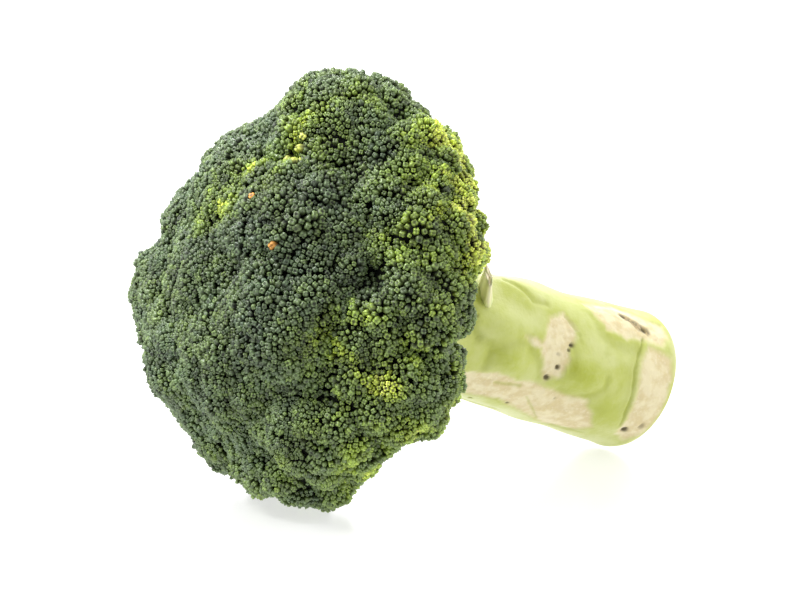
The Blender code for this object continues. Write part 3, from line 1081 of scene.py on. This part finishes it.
def stalk_surface(distance, angle):
    """The stalk's radius, and how much each point is cork, painted shade in creases, brown mark and fresh
    green.
    """
    radius = np.interp(distance, *zip(*STALK_OUTLINE))
    around_it = np.radians(angle)
    across = [np.cos(around_it) * SKIN_RADIUS, np.sin(around_it) * SKIN_RADIUS]
    skin = np.stack([distance, *across], axis=1)
    lift = 0.0005 * noise_at(skin, 0.016, 7.0) + branch_ribs(distance, angle)
    green = np.zeros(len(distance))
    for along, roll, height, half_length, half_width, fresh in SWELLINGS:
        bump = np.exp(-1.1 * falloff(distance, angle, along, roll, half_length, half_width) ** 2)
        lift = lift + height * bump
        green = np.maximum(green, fresh * bump)
    ragged = 0.0008 * noise_at(skin, 0.0035) + 0.0005 * noise_at(skin, 0.0012, 3.0)
    cork = np.zeros(len(distance))
    for outline in CORK:
        edge = line_distance(distance, angle, outline, closed=True)
        signed = np.where(inside_outline(distance, angle, outline), -edge, edge) + ragged
        cork = np.maximum(cork, 1.0 - smooth_step(-0.0018, 0.0012, signed))
    lift = lift - 0.0005 * cork + 0.00022 * cork * noise_at(skin, 0.0020, 1.0)
    crease_shade = np.zeros(len(distance))
    # Creases are sunk, and their darkness paints shade into them with a partly olive tint.
    for line, width, depth, darkness in CREASES:
        apart = (line_distance(distance, angle, line) + 0.4 * ragged) * 1000.0 / width
        shape = np.exp(-(apart**2))
        lift = lift - depth / 1000.0 * shape
        crease_shade = np.maximum(crease_shade, darkness * shape)
    mark = np.zeros(len(distance))
    for along, roll, half_length, half_width, strength in MARKS:
        place = (along / 1000.0, roll, half_length / 1000.0, half_width)
        away = falloff(distance, angle, *place) + ragged * 400.0
        shape = strength * (1.0 - smooth_step(0.45, 1.15, away))
        lift = lift - MARK_DEPTH * shape
        mark = np.maximum(mark, shape)
    tear = np.zeros(len(distance))
    for line, width, strength in TEARS:
        away = (line_distance(distance, angle, line) + ragged) * 1000.0 / width
        shape = strength * (1.0 - smooth_step(0.5, 1.2, away))
        lift = lift - MARK_DEPTH * shape
        tear = np.maximum(tear, shape)
    side = smooth_step(0.004, 0.020, distance)
    masks = {"cork": cork * side, "crease_shade": crease_shade * side, "mark": mark, "tear": tear, "green": green}
    return radius + lift * side, masks


STALK_ROWS = 330
STALK_COLUMNS = 264
FACE_RINGS = 26
# The stalk leans to its oblique cut from here on.
LEAN_START = 0.118
# Where they lie in the map: the skin's corner and size, and the cut face's centre and radius.
SKIN_MAP = ((0.02, 0.02), (0.62, 0.96))
FACE_MAP = ((0.83, 0.5), 0.15)
MAPPED_LENGTH = 0.145


def cut_face(spokes, rim, lean):
    """Rings of points from the rim of the cut to its middle, and each point's share of the rim."""
    points, shares = [], []
    for share in np.linspace(1.0, 0.0, FACE_RINGS + 1)[1:]:
        ring = spokes * (rim * share)[:, None]
        flat = np.stack([ring @ ABOVE, ring @ NEAR, np.zeros(len(ring))], axis=1)
        uneven = 0.00025 * noise_at(flat, 0.006, 2.0) + 0.00008 * noise_at(flat, 0.0014, 6.0)
        dish = 0.0004 * (1.0 - share**4) - 0.0006 * (1.0 - share**2)
        push = STALK_OUTLINE[-1][0] + lean * share + dish + uneven * min(1.0, (1.0 - share) * 8)
        points.append(CROWN_CENTRE + ring + ALONG * push[:, None])
        shares.append(np.full(len(ring), share))
    return points, np.concatenate(shares)


def add_stalk():
    """The stalk: a finely divided skin over its outline, closed by an uneven cut face."""
    distance = np.linspace(STALK_OUTLINE[0][0], STALK_OUTLINE[-1][0], STALK_ROWS)
    angle = np.arange(STALK_COLUMNS + 1) * 360.0 / STALK_COLUMNS
    width = len(angle)
    grid_distance = np.repeat(distance, width)
    grid_angle = np.tile(angle, STALK_ROWS)
    radius, masks = stalk_surface(grid_distance, grid_angle % 360.0)
    lean = CUT_LEAN * np.cos(np.radians(angle - CUT_SIDE))
    shift = np.tile(lean, STALK_ROWS) * smooth_step(LEAN_START, STALK_OUTLINE[-1][0], grid_distance)
    spokes = np.array([around(turn) for turn in angle])
    outside = np.tile(spokes, (STALK_ROWS, 1)) * radius[:, None]
    side = CROWN_CENTRE + ALONG * (grid_distance + shift)[:, None] + outside
    face_points, face_share = cut_face(spokes, radius[-width:], lean)
    points = np.concatenate([side] + face_points)
    points[:, 2] = np.maximum(points[:, 2], 0.0)
    low = (np.arange(STALK_ROWS + FACE_RINGS - 1)[:, None] * width + np.arange(STALK_COLUMNS)).ravel()
    high = low + width
    quads = np.stack([high, high + 1, low + 1, low], axis=1)
    (left, bottom), (across, up) = SKIN_MAP
    lengths = (grid_distance - distance[0]) / MAPPED_LENGTH
    side_uv = np.stack([left + across * lengths, bottom + up * grid_angle / 360.0], axis=1)
    middle, reach = FACE_MAP
    face_angle = np.tile(np.radians(angle), FACE_RINGS)
    face_uv = np.array(middle) + reach * face_share[:, None] * circle_points(face_angle)
    uv = np.concatenate([side_uv, face_uv])
    thing = build_object("stalk_skin", points, quads, np.zeros((0, 3), int), uv)
    none_on_skin, none_on_face = np.zeros(len(radius)), np.zeros(len(face_share))
    for name, values in masks.items():
        add_attribute(thing.data, name, np.concatenate([values, none_on_face]))
    add_attribute(thing.data, "cut", np.concatenate([none_on_skin, 1.0 - face_share]))
    add_attribute(thing.data, "face", np.concatenate([none_on_skin, none_on_face + 1.0]))
    return thing


def add_attribute(mesh, name, values):
    layer = mesh.attributes.new(name, "FLOAT", "POINT")
    layer.data.foreach_set("value", np.asarray(values, np.float32))


SKIN = (0.385, 0.42, 0.070)
SKIN_PALE = (0.475, 0.50, 0.185)
SKIN_FRESH = (0.335, 0.375, 0.030)
CORK_PALE = (0.64, 0.57, 0.36)
CORK_DARK = (0.55, 0.46, 0.25)
CORK_SPECK = (0.68, 0.62, 0.42)
# Olive tint of the skin, and the colour of the painted shade in the creases.
OLIVE_AND_CREASE_SHADE = (0.30, 0.33, 0.028)
MARK_BROWN = (0.075, 0.055, 0.012)
TEAR_TAN = (0.30, 0.21, 0.075)
FACE_RIM = (0.38, 0.45, 0.14)
FACE_PITH = (0.50, 0.51, 0.27)
FACE_DRY = (0.43, 0.37, 0.18)


def stalk_material():
    """Smooth lime-green skin, beige cork, brown marks, olive creases darkened by painted shade and a pale
    cut face.
    """
    graph = Graph(bpy.data.materials.new("stalk_flesh"))
    place = graph.add("TexCoord", {}).outputs["Object"]
    broad = graph.noise(place, 70.0, 3.0)
    medium = graph.noise(place, 210.0, 4.0)
    fine = graph.noise(place, 900.0, 3.0)

    pale = graph.mix(graph.range(broad, 0.38, 0.62), SKIN_PALE, SKIN)
    skin = graph.mix(graph.attribute("green"), pale, SKIN_FRESH)
    skin = graph.mix(graph.range(medium, 0.50, 0.72, 0.0, 0.40), skin, SKIN_PALE)
    skin = graph.mix(graph.range(medium, 0.46, 0.28, 0.0, 0.35), skin, OLIVE_AND_CREASE_SHADE)

    cork = graph.mix(graph.range(medium, 0.40, 0.60), CORK_PALE, CORK_DARK)
    cork = graph.mix(graph.range(fine, 0.56, 0.72, 0.0, 0.5), cork, CORK_SPECK)
    colour = graph.mix(graph.attribute("cork"), skin, cork)
    # Painted shade in the creases, in an olive tint.
    colour = graph.mix(graph.attribute("crease_shade"), colour, OLIVE_AND_CREASE_SHADE)
    torn = graph.mix(graph.range(fine, 0.42, 0.62), TEAR_TAN, MARK_BROWN)
    colour = graph.mix(graph.attribute("tear"), colour, torn)
    colour = graph.mix(graph.attribute("mark"), colour, MARK_BROWN)

    cut = graph.attribute("cut")
    ring = graph.mix(graph.range(cut, 0.03, 0.12), SKIN_FRESH, FACE_RIM)
    pith = graph.mix(graph.range(medium, 0.36, 0.66, 0.0, 0.5), FACE_PITH, FACE_DRY)
    face = graph.mix(graph.range(cut, 0.13, 0.24), ring, pith)
    face = graph.mix(graph.range(fine, 0.54, 0.70, 0.0, 0.3), face, FACE_DRY)

    bump = graph.add("Bump", {"Strength": 0.35, "Distance": 0.0004, "Height": fine})
    looks = {
        "Base Color": graph.mix(graph.attribute("face"), colour, face),
        "Roughness": graph.range(graph.attribute("cork"), 0.0, 1.0, 0.42, 0.60),
        "Normal": bump.outputs["Normal"],
        "Subsurface Weight": 0.15,
        "Subsurface Radius": (1.0, 1.0, 0.35),
        "Subsurface Scale": 0.003,
    }
    graph.feed(graph.nodes["Principled BSDF"], looks)
    return graph.owner


# ---------------------------------------------------------------- leaf stubs
# The cut bases of two leaves: distance along the axis, angle, length, width.
LEAF_STUBS = [(0.0574, 50, 0.0128, 0.0100), (0.0600, 236, 0.0130, 0.0090)]
STUB_THICKNESS = 0.0024
STUB_ROOT = 0.0015
STUB_STEPS = 22
STUB_SIDES = 36
STUB_RIBS = 7.0


def add_leaf_stub(index, rng):
    """A short stump of a leaf's midrib, ribbed along its back and dry at the cut."""
    distance, angle, length, width = LEAF_STUBS[index]
    stalk_radius = np.interp(distance, *zip(*STALK_OUTLINE))
    outside = around(angle)
    across = np.cross(outside, ALONG)
    lean = unit(outside * 0.80 - ALONG * 0.60)
    foot = CROWN_CENTRE + ALONG * distance + outside * (stalk_radius - STUB_ROOT)
    normal = unit(np.cross(across, lean))
    turns = turns_of(STUB_SIDES)
    ribs = 1.0 + 0.10 * np.cos(STUB_RIBS * turns)
    rings, shades = [], []
    for part in np.linspace(0.0, 1.0, STUB_STEPS):
        middle = foot + lean * length * part + outside * 0.0012 * part**2
        wide = width * 0.5 * (1.20 - 0.35 * part)
        deep = STUB_THICKNESS * 0.5 * (1.9 - 1.1 * part)
        flat = np.sign(np.cos(turns)) * np.abs(np.cos(turns)) ** 0.8 * wide
        bow = -0.10 * flat**2 / width
        ring = middle + across * flat[:, None] + normal * (np.sin(turns) * deep * ribs + bow)[:, None]
        rings.append(ring + lean * (0.0006 * part * np.cos(3.0 * turns))[:, None])
        dry = smooth_step(0.80, 0.98, part)
        hue = 0.60 + 0.14 * smooth_step(0.05, 0.45, part) - 0.02 * ribs + 0.05 * dry
        shades.append(np.stack([hue, 0.57 + 0.3 * (ribs - 1.0) - 0.03 * dry], axis=1))
    edge = rings[-1]
    middle = edge.mean(axis=0)
    for pull in (0.75, 0.45, 0.20):
        rings.append(middle + (edge - middle) * pull - lean * 0.0005 * (1.0 - pull))
        shades.append(np.tile([0.82 - 0.06 * pull, 0.55 + 0.04 * rng.normal()], (STUB_SIDES, 1)))
    points = np.concatenate([*rings, [rings[-1].mean(axis=0)]])
    quads = ring_faces(len(rings), STUB_SIDES)
    tris = tip_faces(len(rings), STUB_SIDES)
    shades.append([[0.80, 0.48]])
    return build_object(f"leaf_stub_{index + 1:02d}_cut", points, quads, tris, np.concatenate(shades))


# ---------------------------------------------------------------- studio
FLOOR_SIZE = 6.0
FLOOR_LEVEL = -0.0004
FLOOR_GLOW = 0.65
# The surround's strength, its strength in the dim disc, and the direction of that disc.
SURROUND = 1.95
FRONT_LIGHT = 0.06
FACE_SIDE = (-0.546, -0.825, 0.143)
# Each lamp: where it is, what it looks at, its size and its power.
LAMPS = {
    "key_softbox": ((-0.48, 0.08, 0.60), (-0.03, 0.0, 0.07), 0.25, 6.0),
    "table_glow": ((-0.05, -0.10, -0.0002), (-0.05, -0.10, 1.0), 0.7, 0.7),
    "back_softbox": ((0.26, 0.42, 0.45), (0.05, 0.0, 0.05), 0.35, 3.4),
}
CAMERA_AZIMUTH = -33.5
CAMERA_ELEVATION = 8.2
CAMERA_TARGET = (-0.0122, -0.002, 0.0642)
CAMERA_DISTANCE = 0.635
CAMERA_LENS = 85.0


def add_floor():
    """A white floor that is lit through, like a light table, so shadows on it are faint."""
    bpy.ops.mesh.primitive_plane_add(size=FLOOR_SIZE, location=(0.0, 0.0, FLOOR_LEVEL))
    floor = bpy.context.object
    floor.name = "floor"
    graph = Graph(bpy.data.materials.new("floor_white"))
    looks = {
        "Base Color": (0.25, 0.25, 0.25),
        "Roughness": 0.25,
        "Emission Color": (1.0, 1.0, 1.0),
        "Emission Strength": FLOOR_GLOW,
    }
    graph.feed(graph.nodes["Principled BSDF"], looks)
    floor.data.materials.append(graph.owner)


def aim(thing, location, target):
    """Places a lamp or camera so that it looks at a target."""
    thing.location = location
    thing.rotation_mode = "QUATERNION"
    thing.rotation_quaternion = (target - location).to_track_quat("-Z", "Y")


def add_lamp(name, location, target, size, power):
    lamp = bpy.data.lights.new(name, "AREA")
    lamp.size = size
    lamp.energy = power
    thing = linked_object(name, lamp)
    thing.visible_camera = False
    aim(thing, Vector(location), Vector(target))


def add_world():
    """A white surround with a dimmer disc on the side that the plant's face looks to."""
    graph = Graph(bpy.data.worlds.new("studio"))
    direction = graph.add("TexCoord", {}).outputs["Generated"]
    facing = graph.add("VectorMath", {0: direction, 1: FACE_SIDE}, operation="DOT_PRODUCT")
    strength = graph.range(facing.outputs["Value"], 0.62, 0.88, SURROUND, FRONT_LIGHT)
    graph.feed(graph.nodes["Background"], {"Color": (1.0, 1.0, 1.0), "Strength": strength})
    bpy.context.scene.world = graph.owner


def add_camera():
    azimuth, elevation = math.radians(CAMERA_AZIMUTH), math.radians(CAMERA_ELEVATION)
    level = Vector((math.sin(azimuth), -math.cos(azimuth), 0.0)) * math.cos(elevation)
    back = level + Vector((0.0, 0.0, math.sin(elevation)))
    camera = bpy.data.cameras.new("camera")
    camera.lens = CAMERA_LENS
    camera.clip_start = 0.01
    thing = linked_object("camera", camera)
    target = Vector(CAMERA_TARGET)
    aim(thing, target + back * CAMERA_DISTANCE, target)
    bpy.context.scene.camera = thing


def finish_piece(piece, material, node):
    piece.data.materials.append(material)
    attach(piece, "root")
    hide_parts(node)


def add_crown(rng):
    """Every floret's buds and the branch under it."""
    clusters = place_clusters(rng)
    points, owners, pitch = place_buds(clusters, rng)
    shades = bud_shades(points, owners, clusters, rng)
    buds = palette_material("buds", BUD_COLOURS, 0.42, 0.0)
    stems = palette_material("branch_flesh", STEM_COLOURS, 0.42, 0.10)
    templates = (bud_template(CLOSED_BUD), bud_template(CUPPED_BUD))
    for index in range(len(FLORETS)):
        number = f"{index + 1:02d}"
        own = clusters["owner"][owners] == index
        soup = Soup()
        inner_layer(soup, index)
        own_buds = (points[own], owners[own], pitch[own], shades[own])
        add_buds(soup, own_buds, clusters, templates, rng)
        finish_piece(soup.build(f"floret_{number}_buds"), buds, f"floret_{number}")
        branch = add_branch(index, clusters, rng)
        finish_piece(branch, stems, f"branch_{number}")


def add_stem_parts(rng):
    """The stalk and the leaf stubs on its neck."""
    finish_piece(add_stalk(), stalk_material(), "stalk")
    cut_leaf = palette_material("leaf_stub", STUB_COLOURS, 0.45, 0.10)
    for index in range(len(LEAF_STUBS)):
        finish_piece(add_leaf_stub(index, rng), cut_leaf, f"leaf_stub_{index + 1:02d}")


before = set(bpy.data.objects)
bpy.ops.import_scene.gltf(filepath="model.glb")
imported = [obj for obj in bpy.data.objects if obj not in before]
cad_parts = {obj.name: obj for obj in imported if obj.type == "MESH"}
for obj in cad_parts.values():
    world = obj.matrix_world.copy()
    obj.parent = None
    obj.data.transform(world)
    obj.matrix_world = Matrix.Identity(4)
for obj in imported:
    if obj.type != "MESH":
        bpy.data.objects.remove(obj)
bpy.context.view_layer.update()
bpy.context.scene.view_settings.view_transform = "Standard"
add_camera()
add_world()
for lamp_name, lamp_values in LAMPS.items():
    add_lamp(lamp_name, *lamp_values)
add_floor()
random = np.random.default_rng(SEED)
add_crown(random)
add_stem_parts(random)
